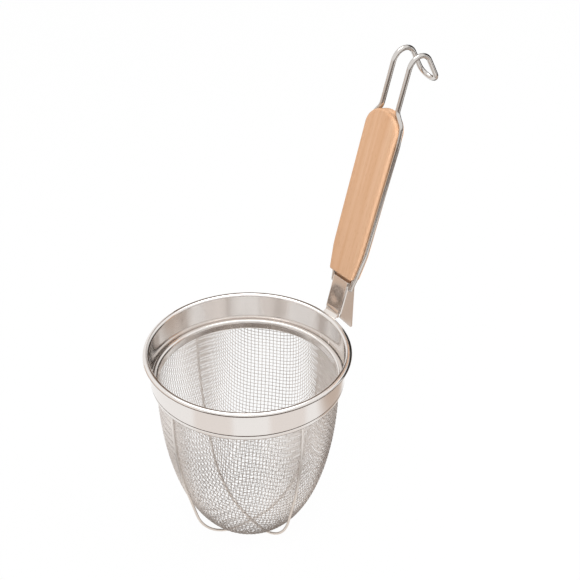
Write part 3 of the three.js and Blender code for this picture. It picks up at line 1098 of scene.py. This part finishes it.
@dataclass
class Handle:
    """Leaning handle: a folded bracket on the rim, one wire bent over into a hook, and a grip in between.

    Its own frame has x away from the basket, y across and z up along the handle from the level of the lip.
    """

    reach: float = 75.715
    lean: float = 17.6
    # Bracket
    web_face: float = 2.2
    web_top: float = 24.5
    web_half_width: float = 8.1
    web_flare: float = 0.9
    bracket_sheet: float = 1.0
    tab_sheet: float = 0.9
    fold_radius: float = 1.7
    fold_steps: int = 8
    gusset_top: float = 21.0
    gusset_top_reach: float = 4.9
    gusset_tip_reach: float = 14.0
    gusset_tip_drop: float = 11.0
    gusset_tip_width: float = 1.8
    tip_round: float = 1.3
    tip_segments: int = 5
    edge_round: float = 0.16
    bow: float = 0.45
    bow_middle: float = 11.0
    bow_reach: float = 5.0
    bow_cuts: int = 9
    relief_radius: float = 1.9
    relief_inset: float = 0.7
    relief_sides: int = 32
    stub_rise: float = 4.0
    heel_reach: float = 66.47
    heel_drop: float = 4.18
    tab_slope: float = 28.0
    tab_length: float = 7.62
    knee_radius: float = 2.5
    heel_bend: float = 1.2
    flange_depth: float = 12.5
    flange_lean: float = 2.6
    flange_half_width: float = 6.1
    # Grip
    grip_start: float = 27.5
    grip_end: float = 148.2
    grip_foot: float = 10.9
    grip_foot_round: float = 1.7
    grip_heel_rise: float = 18.5
    grip_heel: float = 13.5
    grip_half_width: float = 14.5
    grip_crown: float = 13.5
    grip_crown_steps: int = 14
    grip_turn: float = 10.0
    grip_thickness: float = 10.0
    grip_edge: float = 2.8
    grip_edge_segments: int = 6
    heel_radius: float = 40.0
    tongue_length: float = 7.0
    tongue_front: float = 0.2
    tongue_back: float = 4.4
    tongue_half_width: float = 6.98
    groove_gap: float = 0.08
    # Wire
    wire: float = 3.5
    wire_proud: float = 0.4
    wire_foot: float = 18.2
    wire_back: float = 0.7
    wire_crown_back: float = 1.2
    wire_sunk: float = 0.95
    wire_waist: float = 9.7
    crown_lead: float = 20.0
    crown_lead_bend: float = 40.0
    shoulder_drop: float = 7.2
    shoulder_inset: float = 1.6
    shoulder_bend: float = 8.0
    leg_rise: float = 0.6
    leg_bend: float = 6.0
    waist_bend: float = 14.0
    knuckle_bend: float = 18.0
    knuckle_rise: float = 2.9
    hook_half_spacing: float = 7.75
    hook_rise: float = 31.1
    hook_radius: float = 9.45
    hook_turn: float = 136.7
    hook_tail: float = 12.9
    hook_flat: float = 0.02
    wire_sides: int = 20

    @property
    def foot(self) -> Vector:
        """The origin of the handle's frame."""
        return Vector((self.reach, 0.0, node_box("rim_band")[1].z))

    def placed(self) -> Matrix:
        """Give the turn and shift from the handle's frame to the model's."""
        return Matrix.Translation(self.foot) @ Matrix.Rotation(math.radians(self.lean), 4, "Y")

    def web_half(self, along: float) -> float:
        """Give half the bracket's outside width at a place up the handle."""
        return self.web_half_width - (self.web_top - along) * math.tan(math.radians(self.web_flare))

    def wire_path(self) -> list[Vector]:
        """Work out the handle wire's middle line, from one weld over the hook to the other.

        Returns:
            Its points in the handle's frame.
        """
        turn = math.radians(self.hook_turn)
        corner_rise = self.hook_radius / math.tan((math.pi - turn) / 2)
        fall = corner_rise + self.hook_tail + self.hook_half_spacing
        hook = self.grip_end + self.hook_rise + corner_rise
        across = self.hook_half_spacing
        foot = self.web_half(self.wire_foot) + self.wire / 2 - self.wire_sunk
        knuckle = self.grip_foot + self.wire_proud
        heel = self.grip_heel + self.wire_proud
        side = self.grip_half_width + self.wire_proud
        shoulder = self.grip_end - self.shoulder_drop
        back, crown_back = self.wire_back, self.wire_crown_back
        tail = (fall * math.sin(turn), across, hook + fall * math.cos(turn))
        half = [
            Corner.of(back, foot, self.wire_foot),
            Corner.of(back, self.wire_waist, self.web_top, self.waist_bend),
            Corner.of(back / 2, knuckle, self.grip_start + self.knuckle_rise, self.knuckle_bend),
            Corner.of(back / 2, heel, self.grip_start + self.grip_heel_rise, self.heel_radius),
            Corner.of(crown_back, side, self.grip_end - self.crown_lead, self.crown_lead_bend),
            Corner.of(crown_back, side - self.shoulder_inset, shoulder, self.shoulder_bend),
            Corner.of(0, across, self.grip_end + self.leg_rise, self.leg_bend),
            Corner.of(0, across, hook, self.hook_radius),
            Corner.of(*tail, across - self.hook_flat / 2),
        ]
        flip = Matrix.Diagonal((1, -1, 1))
        return rounded(half + [Corner(flip @ corner.at, corner.radius) for corner in reversed(half)])

    def grip(self) -> bpy.types.Object:
        """Build the grip: a bevelled slab with a half-oval top, a tongue, and a groove for each leg.

        Returns:
            The object in millimetres, in the model's frame.
        """
        heel = self.grip_start + self.grip_heel_rise
        shoulder = self.grip_end - self.grip_crown
        side = rounded(
            [
                Corner.of(0, 0, self.grip_start),
                Corner.of(0, self.grip_foot, self.grip_start, self.grip_foot_round),
                Corner.of(0, self.grip_heel, heel, self.heel_radius),
                Corner.of(0, self.grip_half_width, shoulder),
            ],
            self.grip_turn,
        )
        crown = arc((0, shoulder), (self.grip_half_width, self.grip_crown), 0, 90, self.grip_crown_steps)
        half = side[1:] + [Vector((0, y, s)) for y, s in crown[1:-1]]
        top = Vector((0, 0, self.grip_end))
        outline = half + [top] + [Vector((0, -point.y, point.z)) for point in reversed(half)]
        bm = bmesh.new()
        face = bm.faces.new([bm.verts.new(point) for point in outline])
        raised = bmesh.ops.extrude_face_region(bm, geom=[face])["geom"]
        lifted = [item for item in raised if isinstance(item, bmesh.types.BMVert)]
        bmesh.ops.translate(bm, verts=lifted, vec=(self.grip_thickness, 0, 0))
        bmesh.ops.translate(bm, verts=bm.verts, vec=(-self.grip_thickness / 2, 0, 0))
        edges = [edge for edge in bm.edges if abs(edge.verts[0].co.x - edge.verts[1].co.x) < self.grip_edge]
        bmesh.ops.bevel(
            bm, geom=edges, offset=self.grip_edge, offset_type="OFFSET", affect="EDGES",
            segments=self.grip_edge_segments, profile=0.5, material=-1, clamp_overlap=True,
        )
        piece = make_object("handle_grip_wood", bm)

        bm = bmesh.new()
        tongue_foot = self.grip_start - self.tongue_length
        tongue_top = self.grip_start + self.grip_foot_round
        low = Vector((self.tongue_front, -self.tongue_half_width, tongue_foot))
        high = Vector((self.tongue_back, self.tongue_half_width, tongue_top))
        box = Matrix.Translation((low + high) / 2) @ Matrix.Diagonal((*(high - low), 1))
        bmesh.ops.create_cube(bm, size=1.0, matrix=box)
        combine(piece, make_object("tongue", bm), Work.JOIN)
        groove = make_wires("groove", [self.wire_path()], self.wire + 2 * self.groove_gap, self.wire_sides)
        combine(piece, groove, Work.CUT)
        piece.data.transform(self.placed())
        return piece

    def strip_corners(self) -> list[Vector]:
        """Work out the strip's corners: stub on the web, knee, heel under the lip and flange foot.

        Returns:
            The corners in the handle's frame.
        """
        slope = math.radians(self.tab_slope)
        tilt = math.radians(self.flange_lean)
        heel = Vector((self.heel_reach, 0, self.foot.z - self.heel_drop))
        knee = heel + Vector((math.cos(slope), 0, math.sin(slope))) * self.tab_length
        flange_foot = heel - Vector((math.sin(tilt), 0, math.cos(tilt))) * self.flange_depth
        inward = self.placed().inverted()
        knee, heel, flange_foot = (inward @ point for point in (knee, heel, flange_foot))
        return [knee + Vector((0, 0, self.stub_rise)), knee, heel, flange_foot]

    def channel(self) -> bpy.types.Object:
        """Build the web and gussets: one sheet folded to a channel, cut to shape from the side and relieved.

        Returns:
            The object in millimetres, in the handle's frame.
        """
        half, front = self.web_half_width, -self.web_face
        bend = front + self.fold_radius
        back = self.gusset_tip_reach + self.bracket_sheet
        fold_centre = (bend, half - self.fold_radius)
        fold = arc(fold_centre, (self.fold_radius, self.fold_radius), 180, 90, self.fold_steps)
        side = [*fold, (back, half)]
        section = [(x, -y) for x, y in reversed(side)] + side
        foot = -self.gusset_tip_drop - self.bracket_sheet
        bm = bmesh.new()
        verts = [bm.verts.new((x, y, foot)) for x, y in section]
        edges = [bm.edges.new(pair) for pair in zip(verts, verts[1:])]
        upper = extrude_edges(bm, edges, (0, 0, self.gusset_top - foot))
        level = [e for e in upper if all(abs(v.co.z - self.gusset_top) < NEAR for v in e.verts)]
        web = [e for e in level if all(v.co.x < bend + NEAR for v in e.verts)]
        extrude_edges(bm, web, (0, 0, self.web_top - self.gusset_top))
        for vert in bm.verts:
            vert.co.y *= self.web_half(vert.co.z) / half

        tip = Vector((self.gusset_tip_reach, 0, -self.gusset_tip_drop))
        tip_front = tip - Vector((self.gusset_tip_width, 0, 0))
        rear_top = Vector((self.gusset_top_reach, 0, self.gusset_top))
        knee = self.strip_corners()[1]
        for start, end in ((knee, tip_front), (tip_front, tip), (tip, rear_top)):
            along = end - start
            bmesh.ops.bisect_plane(
                bm, geom=[*bm.verts, *bm.edges, *bm.faces], dist=NEAR, plane_co=start,
                plane_no=(along.z, 0, -along.x), clear_outer=True,
            )
        face = [f for f in bm.faces if all(abs(v.co.x - front) < NEAR for v in f.verts)]
        edges = list(dict.fromkeys(edge for f in face for edge in f.edges))
        bmesh.ops.subdivide_edges(bm, edges=edges, cuts=self.bow_cuts, use_grid_fill=True)
        for vert in bm.verts:
            if abs(vert.co.x - front) < NEAR:
                away = math.hypot(vert.co.y, vert.co.z - self.bow_middle) / self.bow_reach
                vert.co.x += self.bow * math.exp(-away * away)
        close = self.tip_round / 4
        tips = [v for v in bm.verts if math.hypot(v.co.x - tip.x, v.co.z - tip.z) < close]
        bmesh.ops.bevel(
            bm, geom=tips, offset=self.tip_round, offset_type="OFFSET", affect="VERTICES",
            segments=self.tip_segments, profile=0.5, material=-1,
        )
        bm.normal_update()
        piece = make_sheet("handle_bracket_channel", bm, (-1, 0, 0), self.bracket_sheet, self.edge_round)
        for across in (-1, 1):
            cut = bmesh.new()
            place = Vector((front, across * (self.web_half(knee.z) - self.relief_inset), knee.z))
            bmesh.ops.create_cone(
                cut, cap_ends=True, segments=self.relief_sides, radius1=self.relief_radius,
                radius2=self.relief_radius, depth=2 * self.fold_radius,
                matrix=Matrix.Translation(place) @ Matrix.Rotation(math.pi / 2, 4, "Y"),
            )
            combine(piece, make_object("relief", cut), Work.CUT)
        return piece

    def strip(self) -> bpy.types.Object:
        """Build the tab and flange: a strip bent out of the web's foot, under the lip and down the band.

        Returns:
            The object in millimetres, in the handle's frame.
        """
        bends = (0.0, self.knee_radius, self.heel_bend, 0.0)
        path = rounded([Corner(at, bend) for at, bend in zip(self.strip_corners(), bends)])
        half = self.flange_half_width
        bm = bmesh.new()
        verts = [bm.verts.new((point.x, -half, point.z)) for point in path]
        edges = [bm.edges.new(pair) for pair in zip(verts, verts[1:])]
        extrude_edges(bm, edges, (0, 2 * half, 0))
        bm.normal_update()
        return make_sheet("handle_bracket_tab", bm, (-1, 0, 1), self.tab_sheet, self.edge_round)

    def build(self, steel: bpy.types.Material, wire: bpy.types.Material, wood: bpy.types.Material) -> None:
        """Make the bracket, the wire and the grip and dress them.

        Args:
            steel: The bracket's finish.
            wire: The wire's finish.
            wood: The grip's finish.
        """
        for sheet in (self.channel(), self.strip()):
            sheet.data.transform(self.placed())
            fit(sheet, steel, Slot.POLISHED_STEEL, "handle_bracket", sharp=35.0)
        path = self.wire_path()
        piece = make_wires("handle_wire_round", [path], self.wire, self.wire_sides, round_ends=True)
        piece.data.transform(self.placed())
        fit(piece, wire, Slot.STEEL_WIRE, "handle_wire", sharp=60.0)
        grip = self.grip()
        grip.modifiers.new("even faces", "WEIGHTED_NORMAL")
        fit(grip, wood, Slot.PALE_WOOD, "handle_grip", sharp=50.0)


@dataclass(frozen=True)
class Wall:
    """Dim screen that stands round part of the object, by angles in degrees, and fades towards its top."""

    name: str
    colour: str
    start: float
    sweep: float
    low: float
    high: float


@dataclass(frozen=True)
class Apron:
    """Dim screen that lies round part of the object, by angles in degrees, and fades towards it."""

    name: str
    start: float
    sweep: float
    near: float
    far: float


@dataclass(frozen=True)
class Patch:
    """Dim disc that lies on the floor and fades towards its edge."""

    name: str
    colour: str
    radius: float
    place: tuple[float, float, float]


@dataclass(frozen=True)
class Lamp:
    """Soft square lamp with a power in watts, which polished metal may or may not show."""

    name: str
    place: tuple[float, float, float]
    size: float
    power: float
    mirrored: bool


@dataclass
class Studio:
    """Pale floor, white surround, dim screens for polished metal, soft lamps and the photograph's camera."""

    target: tuple[float, float, float] = (32.6, -5.0, 189.0)
    distance: float = 1200.0
    azimuth: float = -38.6
    elevation: float = 34.35
    roll: float = -0.11
    lens: float = 112.18
    floor_size: float = 8000.0
    white: str = "#FFFFFF"
    floor_white: float = 0.965
    floor_level: float = 0.9
    floor_roughness: float = 0.9
    fill: float = 0.55
    screen_steps: int = 48
    screen_gap: float = 0.2
    wall_radius: float = 700.0
    wall_solid: float = 0.6
    walls: tuple[Wall, ...] = (
        Wall("back wall", "#6A5442", start=38.0, sweep=30.0, low=0.0, high=800.0),
        Wall("left wall", "#DCC5B3", start=105.0, sweep=80.0, low=0.0, high=420.0),
        Wall("right wall", "#241E1A", start=-20.0, sweep=55.0, low=0.0, high=800.0),
        Wall("front wall", "#75665B", start=190.0, sweep=140.0, low=130.0, high=450.0),
    )
    shade_inner: float = 104.0
    shade_outer: float = 150.0
    shade_colour: str = "#6A5D52"
    # The aprons are painted shade on the floor, seen only in reflections.
    apron_colour: str = "#6A5C52"
    apron_fade: float = 70.0
    aprons: tuple[Apron, ...] = (
        Apron("front apron", start=190.0, sweep=95.0, near=590.0, far=1100.0),
        Apron("right apron", start=285.0, sweep=75.0, near=480.0, far=700.0),
    )
    pool_colour: str = "#E6DED7"
    patch_solid: float = 0.7
    patch_sides: int = 64
    patches: tuple[Patch, ...] = (
        Patch("left faint patch", "#F4EFEC", 95.0, (-215.0, -60.0, 0.0)),
        Patch("front faint patch", "#F4EFEC", 95.0, (20.0, -230.0, 0.0)),
        # The dark patch is painted shade on the floor, seen only in reflections.
        Patch("dark patch", "#2E2620", 220.0, (390.0, 130.0, 0.0)),
        Patch("beige patch", "#CDBDB1", 215.0, (330.0, -110.0, 0.0)),
    )
    lamps: tuple[Lamp, ...] = (
        Lamp("key lamp", (-900.0, -700.0, 1500.0), size=900.0, power=14.0, mirrored=False),
        Lamp("top lamp", (300.0, 500.0, 1700.0), size=900.0, power=8.0, mirrored=True),
        Lamp("side lamp", (1100.0, -900.0, 500.0), size=600.0, power=12.0, mirrored=False),
    )

    def camera(self) -> None:
        """Set the camera: a long lens that looks down on the basket with the handle to the right."""
        turn = math.radians(self.azimuth)
        tilt = math.radians(self.elevation)
        back = Vector((math.sin(turn) * math.cos(tilt), -math.cos(turn) * math.cos(tilt), math.sin(tilt)))
        data = bpy.data.cameras.new("camera")
        data.lens = self.lens
        camera = link("camera", data)
        camera.location = (Vector(self.target) + back * self.distance) * MM
        camera.rotation_mode = "QUATERNION"
        roll = Quaternion((0, 0, 1), math.radians(self.roll))
        camera.rotation_quaternion = back.to_track_quat("Z", "Y") @ roll
        bpy.context.scene.camera = camera

    def seen(self, tree: bpy.types.NodeTree) -> bpy.types.NodeSocket:
        """Tell the rays of the camera and of mirror-like or clear surfaces from the rest.

        Args:
            tree: Tree that takes the nodes.

        Returns:
            1 on those rays and 0 on the rest.
        """
        path = add_node(tree, "ShaderNodeLightPath").outputs
        first = add_node(
            tree, "ShaderNodeMath", {"operation": "MAXIMUM"},
            {0: path["Is Camera Ray"], 1: path["Is Glossy Ray"]},
        )
        both = add_node(
            tree, "ShaderNodeMath", {"operation": "MAXIMUM"},
            {0: first.outputs["Value"], 1: path["Is Transmission Ray"]},
        )
        return both.outputs["Value"]

    def surround(self) -> None:
        """Set the world: white to the eye and in reflections, and a plain soft fill on the object."""
        world = bpy.data.worlds.new("studio")
        world.use_nodes = True
        bpy.context.scene.world = world
        tree = world.node_tree
        tree.nodes.clear()
        colour = linear(self.white)
        fill = add_node(tree, "ShaderNodeBackground", inputs={"Color": colour, "Strength": self.fill})
        white = add_node(tree, "ShaderNodeBackground", inputs={"Color": colour, "Strength": 1.0})
        mixed = add_node(
            tree, "ShaderNodeMixShader",
            inputs={0: self.seen(tree), 1: fill.outputs["Background"], 2: white.outputs["Background"]},
        )
        add_node(tree, "ShaderNodeOutputWorld", inputs={"Surface": mixed.outputs["Shader"]})

    def floor(self) -> None:
        """Lay the pale floor, which keeps a faint shadow."""
        bm = bmesh.new()
        bmesh.ops.create_grid(bm, x_segments=1, y_segments=1, size=self.floor_size / 2)
        piece = make_object("floor", bm)
        piece.data.transform(Matrix.Scale(MM, 4))
        material, tree, surface = new_material("matt white board")
        level = self.floor_level
        surface.inputs["Base Color"].default_value = (level, level, level, 1.0)
        surface.inputs["Roughness"].default_value = self.floor_roughness
        glow = add_node(tree, "ShaderNodeEmission", inputs={"Color": linear(self.white), "Strength": 1.0})
        share = add_node(
            tree, "ShaderNodeMath", {"operation": "MULTIPLY"}, {0: self.seen(tree), 1: self.floor_white}
        )
        mixed = add_node(
            tree, "ShaderNodeMixShader",
            inputs={0: share.outputs["Value"], 1: surface.outputs["BSDF"], 2: glow.outputs["Emission"]},
        )
        tree.links.new(mixed.outputs["Shader"], tree.nodes["Material Output"].inputs["Surface"])
        piece.data.materials.append(material)

    def screen(
        self, name: str, bm: bmesh.types.BMesh, colour: str, fades: Fade, solid: float, clear: float
    ) -> bpy.types.Object:
        """Set up a dim screen that only polished metal shows, as streaks and edge lines.

        Args:
            name: The screen's name.
            bm: Its surface in millimetres.
            colour: Its colour.
            fades: What it fades with.
            solid: Height or distance at which it starts to fade.
            clear: Height or distance at which it is gone.

        Returns:
            The screen.
        """
        piece = make_object(name, bm)
        piece.data.transform(Matrix.Scale(MM, 4))
        material, tree, surface = new_material(f"dim {name}")
        place = add_node(tree, "ShaderNodeTexCoord").outputs["Object"]
        if fades is Fade.HEIGHT:
            far = add_node(tree, "ShaderNodeSeparateXYZ", inputs={"Vector": place}).outputs["Z"]
        else:
            length = add_node(tree, "ShaderNodeVectorMath", {"operation": "LENGTH"}, {0: place})
            far = length.outputs["Value"]
        fade = add_node(
            tree, "ShaderNodeMapRange", {"interpolation_type": "SMOOTHSTEP"},
            {"Value": far, "From Min": solid * MM, "From Max": clear * MM},
        )
        dim = add_node(tree, "ShaderNodeEmission", inputs={"Color": linear(colour), "Strength": 1.0})
        gone = add_node(tree, "ShaderNodeBsdfTransparent")
        mixed = add_node(
            tree, "ShaderNodeMixShader",
            inputs={0: fade.outputs["Result"], 1: dim.outputs["Emission"], 2: gone.outputs["BSDF"]},
        )
        tree.links.new(mixed.outputs["Shader"], tree.nodes["Material Output"].inputs["Surface"])
        tree.nodes.remove(surface)
        piece.data.materials.append(material)
        for kind in ("camera", "diffuse", "transmission", "volume_scatter", "shadow"):
            setattr(piece, f"visible_{kind}", False)
        return piece

    def turned(
        self, first: tuple[float, float], last: tuple[float, float], start: float, sweep: float
    ) -> bmesh.types.BMesh:
        """Turn a straight line round the basket's axis.

        Args:
            first: Radius and height at one end of the line.
            last: Radius and height at the other.
            start: Angle in degrees at which the turn starts.
            sweep: Angle in degrees that it covers.

        Returns:
            The surface in millimetres.
        """
        bm = bmesh.new()
        spin = Matrix.Rotation(math.radians(start), 3, "Z")
        verts = [bm.verts.new(spin @ Vector((radius, 0, height))) for radius, height in (first, last)]
        line = [*verts, bm.edges.new(verts)]
        bmesh.ops.spin(
            bm, geom=line, cent=(0, 0, 0), axis=(0, 0, 1), angle=math.radians(sweep),
            steps=self.screen_steps, use_merge=sweep == FULL_TURN,
        )
        return bm

    def screens(self) -> None:
        """Set up the screens: walls round the object, and a ring of shade, aprons and patches below it."""
        for wall in self.walls:
            foot, top = (self.wall_radius, wall.low), (self.wall_radius, wall.high)
            bm = self.turned(foot, top, wall.start, wall.sweep)
            self.screen(wall.name, bm, wall.colour, Fade.HEIGHT, wall.high * self.wall_solid, wall.high)
        gap = self.screen_gap
        ring = self.turned((self.shade_inner, gap), (self.shade_outer, gap), 0.0, FULL_TURN)
        middle = (self.shade_inner + self.shade_outer) / 2
        self.screen("ring of shade", ring, self.shade_colour, Fade.DISTANCE, middle, self.shade_outer)
        for apron in self.aprons:
            bm = self.turned((apron.near, gap), (apron.far, gap), apron.start, apron.sweep)
            solid = apron.near + self.apron_fade
            self.screen(apron.name, bm, self.apron_colour, Fade.DISTANCE, solid, apron.near)
        # Each disc lies one gap above the one before, so that none are level.
        pool = Patch("pool of shade", self.pool_colour, self.shade_inner, (0.0, 0.0, 0.0))
        for level, patch in enumerate((*self.patches, pool), start=2):
            bm = bmesh.new()
            bmesh.ops.create_circle(bm, cap_ends=True, segments=self.patch_sides, radius=patch.radius)
            solid = patch.radius * self.patch_solid
            disc = self.screen(patch.name, bm, patch.colour, Fade.DISTANCE, solid, patch.radius)
            disc.location = (Vector(patch.place) + Vector((0, 0, gap * level))) * MM

    def hang(self, lamp: Lamp) -> None:
        """Hang one lamp so that it faces the object.

        Args:
            lamp: The lamp.
        """
        data = bpy.data.lights.new(lamp.name, "AREA")
        data.size = lamp.size * MM
        data.energy = lamp.power
        place = Vector(lamp.place)
        holder = link(lamp.name, data)
        holder.visible_glossy = lamp.mirrored
        holder.location = place * MM
        holder.rotation_mode = "QUATERNION"
        holder.rotation_quaternion = (place - Vector(self.target)).to_track_quat("Z", "Y")

    def build(self) -> None:
        """Set up the whole studio."""
        bpy.context.scene.view_settings.view_transform = "Standard"
        self.camera()
        self.surround()
        self.floor()
        self.screens()
        for lamp in self.lamps:
            self.hang(lamp)


def main() -> None:
    """Build and dress the strainer piece by piece."""
    logging.basicConfig(level=logging.INFO, format="%(name)s: %(message)s")
    handle = Handle()
    sheet = PolishedSheet().material()
    satin = PolishedSheet("satin stainless sheet", colour="#E6DFD9", roughness=0.17).material()
    cloth = WireCloth()
    # The cloth wire has painted shade in its open zones and at its bottom.
    cloth_wire = BrightWire(
        "woven stainless wire", colour="#FBF7F4", dull_colour="#F1ECE8", roughness=0.34, patch=9.0,
        open_shade_colour="#D0C9C4", open_turn=cloth.turn, bottom_shade_colour="#9F9893",
    ).material()
    bowed_wire = BrightWire(
        "bowed stainless wire", colour="#F4F0EC", dull_colour="#E6E1DC", roughness=0.3, patch=18.0
    ).material()
    drawn_wire = BrightWire(
        "drawn stainless wire", colour="#DAD6D2", dull_colour="#CFCAC5", roughness=0.16, patch=18.0
    ).material()
    beech = SandedBeech().material(handle.foot, math.radians(handle.lean))
    Studio().build()
    # The band's dark lines under the roll and at the foot are painted shade.
    Rim().build(sheet, PaintedShadeLine().material())
    cloth.build(cloth_wire)
    Ribs().build(bowed_wire)
    handle.build(satin, drawn_wire, beech)


if __name__ == "__main__":
    main()
